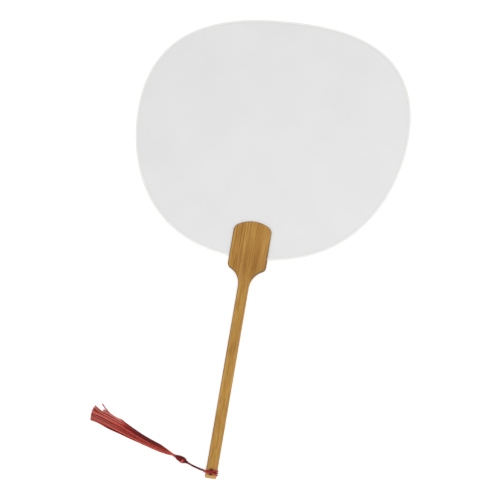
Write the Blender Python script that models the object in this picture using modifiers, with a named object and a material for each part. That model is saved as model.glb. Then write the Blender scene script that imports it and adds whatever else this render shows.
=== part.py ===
"""Rigid round hand fan with a bamboo handle and a red tassel, lying on its back.

Metres. +Z is the normal of the front face, +Y runs along the handle to the top of the leaf, and +X is to
the right of the leaf as seen from the front. The origin is under the middle of the fan, on the surface
that it lies on. Places along the fan are measured from the handle's end, where the empty fan_base stands.
"""

import math

import bmesh
import bpy
from mathutils import Vector

# The whole fan.
TOTAL_LENGTH = 0.448
HANDLE_THICKNESS = 0.005
BACK_Z = 0.0012  # the handle's back lies this high, on the turns of the tassel's cord
FRONT_Z = BACK_Z + HANDLE_THICKNESS
MIDDLE_Z = (BACK_Z + FRONT_Z) / 2

# The leaf's outline: four anchors, each with straight pulls along X or Y.
LEAF_HALF_WIDTH = 0.133
LEAF_WIDEST_Y = 0.345
LEAF_BOTTOM_Y = 0.207
TOP_PULL = 0.044
SHOULDER_PULL = 0.098
FLANK_PULL = 0.048
BOTTOM_PULL = 0.109
STEPS_PER_QUARTER = 24

# The layers of the leaf, as heights either side of its middle.
HOOP_HALF_HEIGHT = 0.00055
HOOP_INSET = 0.0004
HOOP_WIDTH = 0.0016
SCARF_LENGTH = 0.007
SCARF_GAP = 0.0003
PAPER_THICKNESS = 0.00025
PAPER_INNER = 0.00065  # from the leaf's middle to the inner face of a skin
BINDING_HALF_HEIGHT = 0.0012
BINDING_PAPER = 0.0002
BINDING_WIDTH = 0.0021

# The handle.
STICK_HALF_WIDTH = 0.005
STICK_END_ROUND = 0.0012
HEAD_HALF_WIDTH = 0.0182
SHOULDER_ROUND = 0.0185  # the hollow curve from the stick out to the head
SHOULDER_START_Y = 0.18
SHOULDER_SWEEP = math.radians(68)
HEAD_CORNER_Y = 0.2005
HEAD_TOP_Y = 0.2435
HEAD_TOP_ROUND = 0.029
HEAD_TOP_CORNER_ROUND = 0.007
HEAD_CORNER_CUT = (0.0007, 0.0019)  # the slanted flat between the hollow shoulder and the head's side
EDGE_ROUND = 0.0009
SLOT_HALF_HEIGHT = 0.0014
SLOT_BOTTOM_Y = 0.2058
HOLE_Y = 0.0056
HOLE_RADIUS = 0.0026

# The tassel and its cord.
STRAND_RADIUS = 0.00055
CORD_RADIUS = 0.001
CORD_END_DOME = (math.radians(75), math.radians(40))  # where its rounded ends' rings lie, from the side
CORD_EXIT = Vector((-0.0063, 0.0058, 0.0062))
KNOT_END = Vector((-0.0242, 0.0113, 0.003))
KNOT_ANGLE = math.radians(161.0)
SKIRT_FROM_KNOT_END = 0.015
NECK_RADIUS = 0.00125
NECK_START = 0.0127
NECK_LENGTH = 0.0015
LOCK_COUNT = 5

# One strand of the hitch from the hanging cord's end over the handle, round its right edge, under it and up
# through the hole to the crown of the bight: X, distance from the hole's centre line, Z. The other half
# mirrors it.
HITCH_HALF = [
    (-0.0049, 0.00058, 0.00678),
    (-0.0025, 0.00058, 0.0068),
    (0.0005, 0.00058, 0.0068),
    (0.0014, 0.00068, 0.0068),
    (0.0032, 0.00145, 0.0068),
    (0.0046, 0.0020, 0.00672),
    (0.00545, 0.0022, 0.0062),
    (0.00566, 0.00225, 0.0052),
    (0.00566, 0.0023, 0.0037),
    (0.00566, 0.00225, 0.0022),
    (0.00545, 0.0022, 0.0012),
    (0.0046, 0.0021, 0.00065),
    (0.0028, 0.00195, 0.00056),
    (0.0013, 0.00185, 0.00066),
    (0.00065, 0.0018, 0.0014),
    (0.0006, 0.0018, 0.0037),
    (0.0006, 0.0018, 0.0062),
    (0.0006, 0.00168, 0.0073),
    (0.0006, 0.00115, 0.0080),
    (0.0006, 0.0, 0.0082),
]
HITCH_STEP = 0.0007

# The hanging cord, from the handle's left edge down to the surface and along it to the knot.
CORD_ROUTE = [
    tuple(CORD_EXIT),
    (-0.0082, 0.0064, 0.0044),
    (-0.0104, 0.0069, 0.0025),
    (-0.0126, 0.0075, 0.00135),
    (-0.0150, 0.0081, 0.00106),
    (-0.0176, 0.0088, 0.00112),
    (-0.0200, 0.0096, 0.0016),
    (-0.0222, 0.0104, 0.0024),
    tuple(KNOT_END),
]
CORD_STEP = 0.001

# The knot's turned profile: distance from KNOT_END, radius.
KNOT_PROFILE = [
    (0.00125, 0.0),
    (0.00125, 0.0012),
    (0.0022, 0.0021),
    (0.0036, 0.0028),
    (0.0050, 0.00295),
    (0.0070, 0.00275),
    (0.0090, 0.0024),
    (0.0110, 0.0017),
    (0.0124, 0.0011),
    (0.0124, 0.0),
]

# The skirt's middle line and half width at it: X, Y, half width.
SKIRT_ROUTE = [
    (-0.0386, 0.0163, 0.0011),
    (-0.0440, 0.0178, 0.0021),
    (-0.0520, 0.0203, 0.0034),
    (-0.0600, 0.0227, 0.0039),
    (-0.0680, 0.0254, 0.0042),
    (-0.0770, 0.0287, 0.0047),
    (-0.0890, 0.0330, 0.0056),
    (-0.1000, 0.0367, 0.0063),
    (-0.1100, 0.0402, 0.0067),
    (-0.1200, 0.0436, 0.0067),
]
SKIRT_STEP = 0.004
LOCK_GAP = 0.0002
LOCK_SETTLES = 0.014  # along the skirt, where the locks have come down side by side
LOCK_STAGGER = 0.0007  # above or below the middle, where they leave the neck
LOCK_LEAST_RADIUS = 0.0004
LOCK_CLEARANCE = 0.0001  # over the surface that the tassel lies on
# What of the skirt's length each lock has, and how far its tip swings out across the skirt.
LOCK_LENGTHS = (1.0, 1.0, 1.0, 0.985, 0.87)
LOCK_FLARES = (0.0, 0.0, 0.0, 0.35, 0.0)
FLARE_START = 0.87

# How the parts are meshed and cut.
END_STEPS = 4
SHOULDER_STEPS = 12
HEAD_TOP_STEPS = 10
HEAD_TOP_CORNER_STEPS = 8
BEVEL_SEGMENTS = 3
TURNED_SIDES = 20
HOLE_SIDES = 32
SHARP_ANGLE = math.radians(40)
WELD_DISTANCE = 0.000001
TURNED_WELD_DISTANCE = 0.00001
CUTTER_REACH = 1.5  # a cutter's size over that of what it cuts, so that it runs clear of both faces

BAMBOO = (0.48, 0.23, 0.053)
BAMBOO_PALE = (0.6, 0.4, 0.17)
PAPER_WHITE = (0.76, 0.76, 0.75)
BINDING_WHITE = (0.85, 0.85, 0.85)
CORD_RED = (0.16, 0.012, 0.012)
KNOT_RED = (0.12, 0.008, 0.01)
SKIRT_RED = (0.3, 0.022, 0.018)


def clear_scene():
    for thing in list(bpy.data.objects):
        bpy.data.objects.remove(thing, do_unlink=True)


def new_collection(name):
    collection = bpy.data.collections.new(name)
    bpy.context.scene.collection.children.link(collection)
    return collection


def new_material(name, colour, roughness):
    material = bpy.data.materials.new(name)
    material.use_nodes = True
    shader = material.node_tree.nodes["Principled BSDF"]
    shader.inputs["Base Color"].default_value = (*colour, 1.0)
    shader.inputs["Roughness"].default_value = roughness
    material.diffuse_color = (*colour, 1.0)
    return material


def add_empty(name, place, parent=None):
    empty = bpy.data.objects.new(name, None)
    empty.empty_display_size = 0.01
    empty.location = place
    empty.parent = parent
    FAN.objects.link(empty)
    return empty


def finish_part(part, parent, material):
    """Puts a part in the fan's collection, under its parent, with its own material."""
    for collection in list(part.users_collection):
        collection.objects.unlink(part)
    FAN.objects.link(part)
    part.parent = parent
    part.data.materials.clear()
    part.data.materials.append(material)
    if part.type == "MESH":
        part.data.shade_smooth()
        part.data.set_sharp_from_angle(angle=SHARP_ANGLE)
    return part


def as_cutter(part, parent):
    for collection in list(part.users_collection):
        collection.objects.unlink(part)
    CUTTERS.objects.link(part)
    part.parent = parent
    part.hide_render = True
    part.display_type = "WIRE"
    return part


def cut(part, cutter):
    modifier = part.modifiers.new("cut_" + cutter.name, "BOOLEAN")
    modifier.operation = "DIFFERENCE"
    modifier.object = cutter


# Outlines in the plane of the fan.


def arc(centre, radius, start, end, steps):
    """Points along an arc, with its angles counted from +X."""
    angles = [start + (end - start) * step / steps for step in range(steps + 1)]
    return [(centre[0] + radius * math.cos(a), centre[1] + radius * math.sin(a)) for a in angles]


def mirrored(right_half):
    """A closed outline from its right half, which runs from the bottom to the top."""
    left_half = [(-x, y) for x, y in reversed(right_half) if x > WELD_DISTANCE]
    return right_half + left_half


def bezier_quarter(anchors, inset):
    """Points along one cubic curve, moved in by inset, without its last point."""
    a, b, c, d = (Vector(point) for point in anchors)
    points = []
    for step in range(STEPS_PER_QUARTER):
        t = step / STEPS_PER_QUARTER
        s = 1 - t
        place = a * s**3 + b * 3 * s * s * t + c * 3 * s * t * t + d * t**3
        along = ((b - a) * s * s + (c - b) * 2 * s * t + (d - c) * t * t).normalized()
        points.append((place.x - along.y * inset, place.y + along.x * inset))
    return points


def leaf_outline(inset):
    """The leaf's outline, moved in by inset: anticlockwise from the bottom."""
    bottom = (0, LEAF_BOTTOM_Y)
    widest = (LEAF_HALF_WIDTH, LEAF_WIDEST_Y)
    top = (0, TOTAL_LENGTH)
    lower = (bottom, (BOTTOM_PULL, LEAF_BOTTOM_Y), (LEAF_HALF_WIDTH, LEAF_WIDEST_Y - FLANK_PULL), widest)
    upper = (widest, (LEAF_HALF_WIDTH, LEAF_WIDEST_Y + SHOULDER_PULL), (TOP_PULL, TOTAL_LENGTH), top)
    right_half = bezier_quarter(lower, inset) + bezier_quarter(upper, inset)
    return mirrored(right_half + [(0, TOTAL_LENGTH - inset)])


def handle_outline():
    """The handle's outline: a straight stick that opens by hollow shoulders into a round-topped head."""
    end_centre = (STICK_HALF_WIDTH - STICK_END_ROUND, STICK_END_ROUND)
    shoulder_centre = (STICK_HALF_WIDTH + SHOULDER_ROUND, SHOULDER_START_Y)
    top_centre = (0, HEAD_TOP_Y - HEAD_TOP_ROUND)
    top_corner_x = HEAD_HALF_WIDTH - HEAD_TOP_CORNER_ROUND
    top_angle = math.acos(top_corner_x / (HEAD_TOP_ROUND - HEAD_TOP_CORNER_ROUND))
    top_corner = (top_corner_x, top_centre[1] + top_corner_x * math.tan(top_angle))
    corner = (HEAD_HALF_WIDTH, HEAD_CORNER_Y)
    right_half = arc(end_centre, STICK_END_ROUND, -math.pi / 2, 0, END_STEPS)
    right_half += arc(shoulder_centre, SHOULDER_ROUND, math.pi, math.pi - SHOULDER_SWEEP, SHOULDER_STEPS)
    right_half += [(corner[0] - HEAD_CORNER_CUT[0], corner[1] - HEAD_CORNER_CUT[1]), corner]
    right_half += arc(top_corner, HEAD_TOP_CORNER_ROUND, 0, top_angle, HEAD_TOP_CORNER_STEPS)
    right_half += arc(top_centre, HEAD_TOP_ROUND, top_angle, math.pi / 2, HEAD_TOP_STEPS)[1:]
    return mirrored(right_half)


def plate(name, outlines, low, high):
    """A flat piece from closed outlines, the second of which is a hole, between two heights."""
    data = bpy.data.curves.new(name, "CURVE")
    data.dimensions = "2D"
    data.fill_mode = "BOTH"
    data.extrude = (high - low) / 2
    for outline in outlines:
        spline = data.splines.new("POLY")
        spline.points.add(len(outline) - 1)
        for point, (x, y) in zip(spline.points, outline):
            point.co = (x, y, 0, 1)
        spline.use_cyclic_u = True
    flat = bpy.data.objects.new(name, data)
    flat.location.z = (low + high) / 2
    return as_mesh(flat)


def as_mesh(curve_part):
    """The same piece as a mesh whose caps are welded to its sides, so that it can be cut."""
    bpy.context.scene.collection.objects.link(curve_part)
    bpy.context.view_layer.update()
    graph = bpy.context.evaluated_depsgraph_get()
    mesh = bpy.data.meshes.new_from_object(curve_part.evaluated_get(graph))
    work = bmesh.new()
    work.from_mesh(mesh)
    bmesh.ops.remove_doubles(work, verts=work.verts, dist=WELD_DISTANCE)
    work.to_mesh(mesh)
    work.free()
    name = curve_part.name
    place = curve_part.matrix_world.copy()
    bpy.data.objects.remove(curve_part, do_unlink=True)
    part = bpy.data.objects.new(name, mesh)
    part.matrix_world = place
    bpy.context.scene.collection.objects.link(part)
    return part


def box(name, size, place, turn=0.0):
    bpy.ops.mesh.primitive_cube_add(size=1, location=place, rotation=(0, 0, turn), scale=size)
    part = bpy.context.object
    part.name = name
    bpy.ops.object.transform_apply(location=False, rotation=False, scale=True)
    return part


def cylinder(name, radius, length, place, rotation, sides):
    bpy.ops.mesh.primitive_cylinder_add(
        vertices=sides, radius=radius, depth=length, location=place, rotation=rotation
    )
    part = bpy.context.object
    part.name = name
    return part


# Smooth routes and tubes along them.


def smooth_route(points, step):
    """Points about step apart on the smooth curve through the given ones, which may carry extra values."""
    points = [Vector(point) for point in points]
    padded = [points[0] * 2 - points[1]] + points + [points[-1] * 2 - points[-2]]
    route = []
    for before, start, end, after in zip(padded, padded[1:], padded[2:], padded[3:]):
        pieces = max(1, round((end - start).length / step))
        for piece in range(pieces):
            t = piece / pieces
            pull = (end - before) * t + (before * 2 - start * 5 + end * 4 - after) * t * t
            route.append(start + (pull + (start * 3 - before - end * 3 + after) * t**3) / 2)
    return route + [points[-1]]


def tube(name, points, radii, origin):
    """A round tube with filled ends through points, whose object's origin is at origin."""
    data = bpy.data.curves.new(name, "CURVE")
    data.dimensions = "3D"
    data.bevel_depth = max(radii)
    data.bevel_resolution = 2
    data.use_fill_caps = True
    spline = data.splines.new("POLY")
    spline.points.add(len(points) - 1)
    for point, place, radius in zip(spline.points, points, radii):
        point.co = (*(place - origin), 1)
        point.radius = radius / max(radii)
    return bpy.data.objects.new(name, data)


# The sub-parts.


def make_handle():
    handle = plate("handle", [handle_outline()], BACK_Z, FRONT_Z)
    rounding = handle.modifiers.new("rounded_edges", "BEVEL")
    rounding.width = EDGE_ROUND
    rounding.segments = BEVEL_SEGMENTS
    rounding.limit_method = "ANGLE"
    rounding.angle_limit = SHARP_ANGLE
    rounding.use_clamp_overlap = False
    slot_length = TOTAL_LENGTH - SLOT_BOTTOM_Y
    slot = box(
        "slot_cutter",
        (HEAD_HALF_WIDTH * 2 * CUTTER_REACH, slot_length, SLOT_HALF_HEIGHT * 2),
        (0, SLOT_BOTTOM_Y + slot_length / 2, MIDDLE_Z),
    )
    cut(handle, as_cutter(slot, BASE))
    hole_length = HANDLE_THICKNESS * CUTTER_REACH
    hole = cylinder("hole_cutter", HOLE_RADIUS, hole_length, (0, HOLE_Y, MIDDLE_Z), (0, 0, 0), HOLE_SIDES)
    cut(handle, as_cutter(hole, BASE))
    return finish_part(handle, BASE, new_material("handle", BAMBOO, 0.5))


def make_hoop():
    """The bent splint, whose ends meet in a long scarf inside the handle's slot."""
    outlines = [leaf_outline(HOOP_INSET), leaf_outline(HOOP_INSET + HOOP_WIDTH)]
    hoop = plate("hoop", outlines, MIDDLE_Z - HOOP_HALF_HEIGHT, MIDDLE_Z + HOOP_HALF_HEIGHT)
    scarf = box(
        "scarf_cutter",
        (SCARF_LENGTH * CUTTER_REACH, SCARF_GAP, HOOP_HALF_HEIGHT * 2 * CUTTER_REACH),
        (0, LEAF_BOTTOM_Y + HOOP_INSET + HOOP_WIDTH / 2, MIDDLE_Z),
        turn=math.atan2(HOOP_WIDTH, SCARF_LENGTH),
    )
    cut(hoop, as_cutter(scarf, BASE))
    return finish_part(hoop, BASE, new_material("hoop", BAMBOO_PALE, 0.6))


def make_skin(name, side):
    """One paper skin of the leaf, in front of the hoop for side 1 and behind it for side -1."""
    heights = sorted((side * PAPER_INNER, side * (PAPER_INNER + PAPER_THICKNESS)))
    skin = plate(name, [leaf_outline(HOOP_INSET)], MIDDLE_Z + heights[0], MIDDLE_Z + heights[1])
    return finish_part(skin, BASE, new_material(name, PAPER_WHITE, 0.9))


def make_binding():
    """The paper strip folded over the leaf's edge, a channel that is open to the inside."""
    outlines = [leaf_outline(0), leaf_outline(BINDING_WIDTH)]
    binding = plate(
        "rim_binding", outlines, MIDDLE_Z - BINDING_HALF_HEIGHT, MIDDLE_Z + BINDING_HALF_HEIGHT
    )
    groove_outlines = [leaf_outline(BINDING_PAPER), leaf_outline(BINDING_WIDTH * CUTTER_REACH)]
    groove_half_height = BINDING_HALF_HEIGHT - BINDING_PAPER
    groove = plate(
        "groove_cutter", groove_outlines, MIDDLE_Z - groove_half_height, MIDDLE_Z + groove_half_height
    )
    cut(binding, as_cutter(groove, BASE))
    return finish_part(binding, BASE, new_material("rim_binding", BINDING_WHITE, 0.8))


def make_hitch():
    """The cord's hitch round the right-hand web of the hole: two turns and the bight that crosses over."""
    upper = [(x, HOLE_Y + away, z) for x, away, z in HITCH_HALF]
    lower = [(x, HOLE_Y - away, z) for x, away, z in reversed(HITCH_HALF[:-1])]
    points = smooth_route(upper + lower, HITCH_STEP)
    hitch = tube("cord_hitch", points, [STRAND_RADIUS] * len(points), Vector())
    return finish_part(hitch, BASE, new_material("cord_hitch", CORD_RED, 0.7))


def make_hanging_cord():
    """The doubled cord from the handle's edge to the knot, with round ends on its two axes."""
    pivot = add_empty("cord_pivot", CORD_EXIT, BASE)
    route = smooth_route(CORD_ROUTE, CORD_STEP)
    first_way = (route[0] - route[1]).normalized()
    last_way = (route[-1] - route[-2]).normalized()
    dome = [(CORD_RADIUS * math.sin(a), CORD_RADIUS * math.cos(a)) for a in CORD_END_DOME]
    start = [route[0] + first_way * out for out, _ in dome]
    end = [route[-1] + last_way * out for out, _ in reversed(dome)]
    start_radii = [radius for _, radius in dome]
    points = start + route + end
    radii = start_radii + [CORD_RADIUS] * len(route) + start_radii[::-1]
    cord = tube("hanging_cord", points, radii, CORD_EXIT)
    return finish_part(cord, pivot, new_material("hanging_cord", CORD_RED, 0.7))


def knot_axis():
    return Vector((math.cos(KNOT_ANGLE), math.sin(KNOT_ANGLE), 0))


def make_knot(pivot):
    """The wound knot that gathers the tassel, turned about its own length."""
    mesh = bpy.data.meshes.new("tassel_knot")
    work = bmesh.new()
    ring = [work.verts.new((radius, 0, along)) for along, radius in reversed(KNOT_PROFILE)]
    for start, end in zip(ring, ring[1:]):
        work.edges.new((start, end))
    work.to_mesh(mesh)
    work.free()
    knot = bpy.data.objects.new("tassel_knot", mesh)
    knot.rotation_euler = (0, math.pi / 2, KNOT_ANGLE)
    turning = knot.modifiers.new("turned", "SCREW")
    turning.steps = turning.render_steps = TURNED_SIDES
    turning.use_merge_vertices = True
    turning.merge_threshold = TURNED_WELD_DISTANCE
    return finish_part(knot, pivot, new_material("tassel_knot", KNOT_RED, 0.7))


def make_neck(pivot):
    """The thread wound round the neck, between the knot and the skirt."""
    place = knot_axis() * (NECK_START + NECK_LENGTH / 2)
    turn = (0, math.pi / 2, KNOT_ANGLE)
    neck = cylinder("neck_wrap", NECK_RADIUS, NECK_LENGTH, place, turn, TURNED_SIDES)
    return finish_part(neck, pivot, new_material("neck_wrap", CORD_RED, 0.7))


def make_lock(number, pivot, pivot_place):
    """One lock of the skirt's threads, counted across the skirt from its lower edge."""
    share = LOCK_LENGTHS[number]
    across = (2 * number - LOCK_COUNT + 1) / LOCK_COUNT
    route = smooth_route(SKIRT_ROUTE, SKIRT_STEP)
    kept = route[: max(2, round(share * len(route)))]
    points = []
    radii = []
    for index, place in enumerate(kept):
        after = kept[min(index + 1, len(kept) - 1)]
        before = kept[max(index - 1, 0)]
        way = Vector((after.x - before.x, after.y - before.y, 0)).normalized()
        side = Vector((way.y, -way.x, 0))
        flare = max(0.0, index / len(route) - FLARE_START) / (1 - FLARE_START)
        radius = max(place.z / LOCK_COUNT - LOCK_GAP / 2, LOCK_LEAST_RADIUS)
        far = (Vector((place.x, place.y)) - Vector(SKIRT_ROUTE[0][:2])).length
        settled = min(1.0, far / LOCK_SETTLES)
        stagger = LOCK_STAGGER * (1 - settled) * (1 if number % 2 else -1)
        height = pivot_place.z * (1 - settled) + (radius + LOCK_CLEARANCE) * settled + stagger
        offset = place.z * (across + LOCK_FLARES[number] * flare)
        points.append(Vector((place.x, place.y, height)) + side * offset)
        radii.append(radius)
    lock = tube(f"tassel_lock_{number + 1}", points, radii, pivot_place)
    return finish_part(lock, pivot, new_material(f"tassel_lock_{number + 1}", SKIRT_RED, 0.6))


def make_tassel():
    """The knot and neck turn on one axis at the cord's end, and the skirt on another beyond the neck."""
    knot_pivot = add_empty("knot_pivot", KNOT_END, BASE)
    make_knot(knot_pivot)
    make_neck(knot_pivot)
    skirt_place = KNOT_END + knot_axis() * SKIRT_FROM_KNOT_END
    skirt_pivot = add_empty("skirt_pivot", skirt_place, BASE)
    for number in range(LOCK_COUNT):
        make_lock(number, skirt_pivot, skirt_place)


clear_scene()
FAN = new_collection("round_hand_fan")
CUTTERS = new_collection("cutters")
BASE = add_empty("fan_base", (0, -TOTAL_LENGTH / 2, 0))
make_handle()
make_hoop()
make_skin("leaf_front", 1)
make_skin("leaf_back", -1)
make_binding()
make_hitch()
make_hanging_cord()
make_tassel()
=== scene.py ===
"""The looks of a rigid round hand fan with a bamboo handle and a red tassel, built round its CAD frame.

Metres, in the row frame: +Z is up from the surface that the fan lies on, +Y runs along the handle to the
top of the leaf. Places along the fan are written from the handle's end, which lies HANDLE_END along Y.
"""

import math
import random

import bmesh
import bpy
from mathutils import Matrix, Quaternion, Vector, noise


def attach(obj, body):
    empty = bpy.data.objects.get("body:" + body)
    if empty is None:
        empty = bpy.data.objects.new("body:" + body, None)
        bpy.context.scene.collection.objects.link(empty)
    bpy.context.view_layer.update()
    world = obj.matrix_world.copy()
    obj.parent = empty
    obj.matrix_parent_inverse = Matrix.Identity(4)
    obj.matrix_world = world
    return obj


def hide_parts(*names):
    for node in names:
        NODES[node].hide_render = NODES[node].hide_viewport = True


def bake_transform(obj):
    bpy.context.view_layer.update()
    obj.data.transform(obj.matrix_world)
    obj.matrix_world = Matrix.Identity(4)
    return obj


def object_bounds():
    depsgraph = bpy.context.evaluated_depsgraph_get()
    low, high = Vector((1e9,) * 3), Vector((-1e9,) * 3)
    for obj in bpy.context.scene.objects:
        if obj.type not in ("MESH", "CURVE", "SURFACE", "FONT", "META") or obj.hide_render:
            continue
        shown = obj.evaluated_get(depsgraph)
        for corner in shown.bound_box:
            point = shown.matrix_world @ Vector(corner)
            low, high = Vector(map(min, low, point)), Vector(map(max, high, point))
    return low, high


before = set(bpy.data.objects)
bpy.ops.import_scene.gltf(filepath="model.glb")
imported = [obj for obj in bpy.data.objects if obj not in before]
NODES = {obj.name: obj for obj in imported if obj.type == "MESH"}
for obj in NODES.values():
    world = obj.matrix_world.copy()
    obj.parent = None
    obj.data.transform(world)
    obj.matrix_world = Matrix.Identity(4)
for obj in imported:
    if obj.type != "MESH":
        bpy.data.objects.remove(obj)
CAD_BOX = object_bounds()
HANDLE_END = CAD_BOX[0].y

# Camera.
CAMERA_TARGET = (0.00068, 0.21563, 0.0055)
CAMERA_TILT = math.radians(17.03)
CAMERA_SIDE = math.radians(-52.0)
CAMERA_ROLL = math.radians(8.49)
CAMERA_DISTANCE = 1.4079
CAMERA_LENS = 108.0
CAMERA_SENSOR = 36.0

# The fan's layers, as the CAD part has them.
MIDDLE_Z = 0.0037
HOLE_Y = 0.0056
TOTAL_LENGTH = 0.448
LEAF_HALF_WIDTH = 0.133
LEAF_WIDEST_Y = 0.345
LEAF_BOTTOM_Y = 0.207
TOP_PULL = 0.044
SHOULDER_PULL = 0.098
FLANK_PULL = 0.048
BOTTOM_PULL = 0.109
SKIN_INSET = 0.0004
SKIN_INNER = 0.00065
SKIN_THICKNESS = 0.00025
BINDING_WIDTH = 0.0021
BINDING_HALF_HEIGHT = 0.0012
BINDING_PAPER = 0.0002
HEAD_HALF_WIDTH = 0.0182
HEAD_TOP_Y = 0.2435

# The tassel.
PLIES = 3
PLY_PITCH = 0.0034
PLY_FULLNESS = 1.12  # how far the plies press into each other
STRAND_RADIUS = 0.00052
KNOT_END = (-0.0242, 0.0113, 0.003)
KNOT_ANGLE = math.radians(161.0)


def at(x, y, z):
    """A place given from the handle's end, in the row frame."""
    return Vector((x, y + HANDLE_END, z))


def put(name, data):
    """A new object in the scene."""
    made = bpy.data.objects.new(name, data)
    bpy.context.scene.collection.objects.link(made)
    return made


# Camera, before anything that is soft.


def make_camera():
    data = bpy.data.cameras.new("camera")
    data.lens = CAMERA_LENS
    data.sensor_width = CAMERA_SENSOR
    data.clip_start = 0.05
    data.clip_end = 20.0
    camera = put("camera", data)
    back = Vector((math.cos(CAMERA_SIDE), math.sin(CAMERA_SIDE), 0)) * math.sin(CAMERA_TILT)
    back.z = math.cos(CAMERA_TILT)
    turn = Vector((0, 0, 1)).rotation_difference(back) @ Quaternion((0, 0, 1), CAMERA_ROLL)
    camera.rotation_mode = "QUATERNION"
    camera.rotation_quaternion = turn
    camera.location = at(*CAMERA_TARGET) + back * CAMERA_DISTANCE
    bpy.context.scene.camera = camera


make_camera()

# Node materials.


class Nodes:
    """A new material with its Principled shader, and short ways to add nodes to it."""

    def __init__(self, name):
        self.material = bpy.data.materials.new(name)
        self.material.use_nodes = True
        self.tree = self.material.node_tree
        self.shader = self.tree.nodes["Principled BSDF"]

    def link(self, output, node, socket):
        self.tree.links.new(output, node.inputs[socket])

    def new(self, kind, **settings):
        node = self.tree.nodes.new(kind)
        for key, value in settings.items():
            setattr(node, key, value)
        return node

    def coords(self, scale=(1, 1, 1)):
        source = self.new("ShaderNodeTexCoord").outputs["Object"]
        mapping = self.new("ShaderNodeMapping")
        mapping.inputs["Scale"].default_value = scale
        self.link(source, mapping, "Vector")
        return mapping.outputs["Vector"]

    def noise(self, scale, detail=2.0, roughness=0.5, distortion=0.0):
        """Noise over the object's own coordinates, at a scale for each of them."""
        node = self.new("ShaderNodeTexNoise")
        node.inputs["Scale"].default_value = 1.0
        node.inputs["Detail"].default_value = detail
        node.inputs["Roughness"].default_value = roughness
        node.inputs["Distortion"].default_value = distortion
        self.link(self.coords(scale), node, "Vector")
        return node.outputs["Fac"]

    def attribute(self, name):
        return self.new("ShaderNodeAttribute", attribute_name=name).outputs["Fac"]

    def parts(self, vector):
        """The X, Y and Z of a vector."""
        node = self.new("ShaderNodeSeparateXYZ")
        self.link(vector, node, "Vector")
        return node.outputs

    def span(self, value, low, high, to_low=0.0, to_high=1.0):
        """Maps low..high to to_low..to_high, clamped."""
        node = self.new("ShaderNodeMapRange", clamp=True)
        for socket, number in zip(("From Min", "From Max", "To Min", "To Max"), (low, high, to_low, to_high)):
            node.inputs[socket].default_value = number
        self.link(value, node, "Value")
        return node.outputs["Result"]

    def math(self, operation, a, b):
        node = self.new("ShaderNodeMath", operation=operation)
        for index, value in enumerate((a, b)):
            if isinstance(value, (int, float)):
                node.inputs[index].default_value = value
            else:
                self.tree.links.new(value, node.inputs[index])
        return node.outputs[0]

    def mix(self, factor, a, b, blend_type="MIX"):
        """Colours a and b, each a node's output or three linear numbers."""
        node = self.new("ShaderNodeMix", data_type="RGBA", blend_type=blend_type)
        for socket, value in ((0, factor), (6, a), (7, b)):
            if isinstance(value, (int, float)):
                node.inputs[socket].default_value = value
            elif isinstance(value, tuple):
                node.inputs[socket].default_value = (*value, 1.0)
            else:
                self.tree.links.new(value, node.inputs[socket])
        return node.outputs[2]

    def bump(self, height, distance, strength=1.0, below=None):
        node = self.new("ShaderNodeBump")
        node.inputs["Strength"].default_value = strength
        node.inputs["Distance"].default_value = distance
        self.link(height, node, "Height")
        if below is not None:
            self.link(below, node, "Normal")
        return node.outputs["Normal"]


def along_fibres(n, across, along, detail=2.0, roughness=0.5, distortion=0.0):
    """Noise that is drawn out along the fibres, which run along Y."""
    return n.noise((across, along, across), detail, roughness, distortion)


def bamboo_grain(n, light, body, dark, grain, grip):
    """The colour of a face cut along the fibres, and the streaks and fibres in it."""
    bands = along_fibres(n, 240, 2.0)
    veins = along_fibres(n, 640, 6.0, roughness=0.55, distortion=0.1)
    streaks = along_fibres(n, 1000, 14.0, detail=3.0, roughness=0.6)
    fibres = along_fibres(n, 2600, 34.0, detail=3.0, roughness=0.65)
    dashes = along_fibres(n, 1700, 95.0)
    flecks = along_fibres(n, 1000, 62.0, roughness=0.6, distortion=0.2)
    cloud = along_fibres(n, 34, 19.0)
    veined = n.span(grip, 0.0, 1.0, 1.0, GRIP_VEINS)
    flecked = n.span(grip, 0.0, 1.0, HEAD_FLECKS * grain, grain)
    # For each layer what weakens it, its noise and the span of that to lay on, and its colour.
    layers = [
        (None, (bands, 0.38, 0.62, 0.0, 0.6), light),
        (veined, (veins, 0.36, 0.46, 0.6, 0.0), light),
        (veined, (veins, 0.52, 0.59, 0.0, 0.62 * grain), dark),
        (flecked, (flecks, 0.52, 0.66, 0.0, 0.6), dark),
        (flecked, (flecks, 0.47, 0.34, 0.0, 0.7), light),
        (None, (streaks, 0.54, 0.64, 0.0, 0.6 * grain), dark),
        (None, (fibres, 0.5, 0.8, 0.0, 0.45 * grain), dark),
        (None, (dashes, 0.63, 0.75, 0.0, 0.6 * grain), dark),
        (None, (cloud, 0.42, 0.7, 0.0, 0.25), dark),
    ]
    colour = body
    for weight, ramp, tint in layers:
        share = n.span(*ramp)
        if weight is not None:
            share = n.math("MULTIPLY", weight, share)
        colour = n.mix(share, colour, tint)
    return colour, streaks, fibres


def bamboo_hole_and_tip(n, colour, place):
    """Darker round the cord's hole, with a painted-shadow ring just outside its edge, and paler at the
    handle's end. Also gives how pale the end is.
    """
    across = n.math("MULTIPLY", place["X"], place["X"])
    along = n.math("SUBTRACT", place["Y"], HANDLE_END + HOLE_Y)
    from_hole = n.math("SQRT", n.math("ADD", across, n.math("MULTIPLY", along, along)), 0.0)
    colour = n.mix(n.span(from_hole, *HOLE_HALO_SPAN, 0.5, 0.0), colour, HOLE_HALO)
    # Painted shadow: a dark ring just outside the hole's edge, where the hole and the cord shade the face.
    colour = n.mix(n.span(from_hole, *HOLE_SHADOW_RING_SPAN, 0.8, 0.0), colour, HOLE_SHADOW_RING)
    pale_end = n.span(place["Y"], HANDLE_END + PALE_TIP_TO, HANDLE_END + PALE_TIP_FROM, 0.0, 0.7)
    return n.mix(pale_end, colour, PALE_TIP), pale_end


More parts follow.
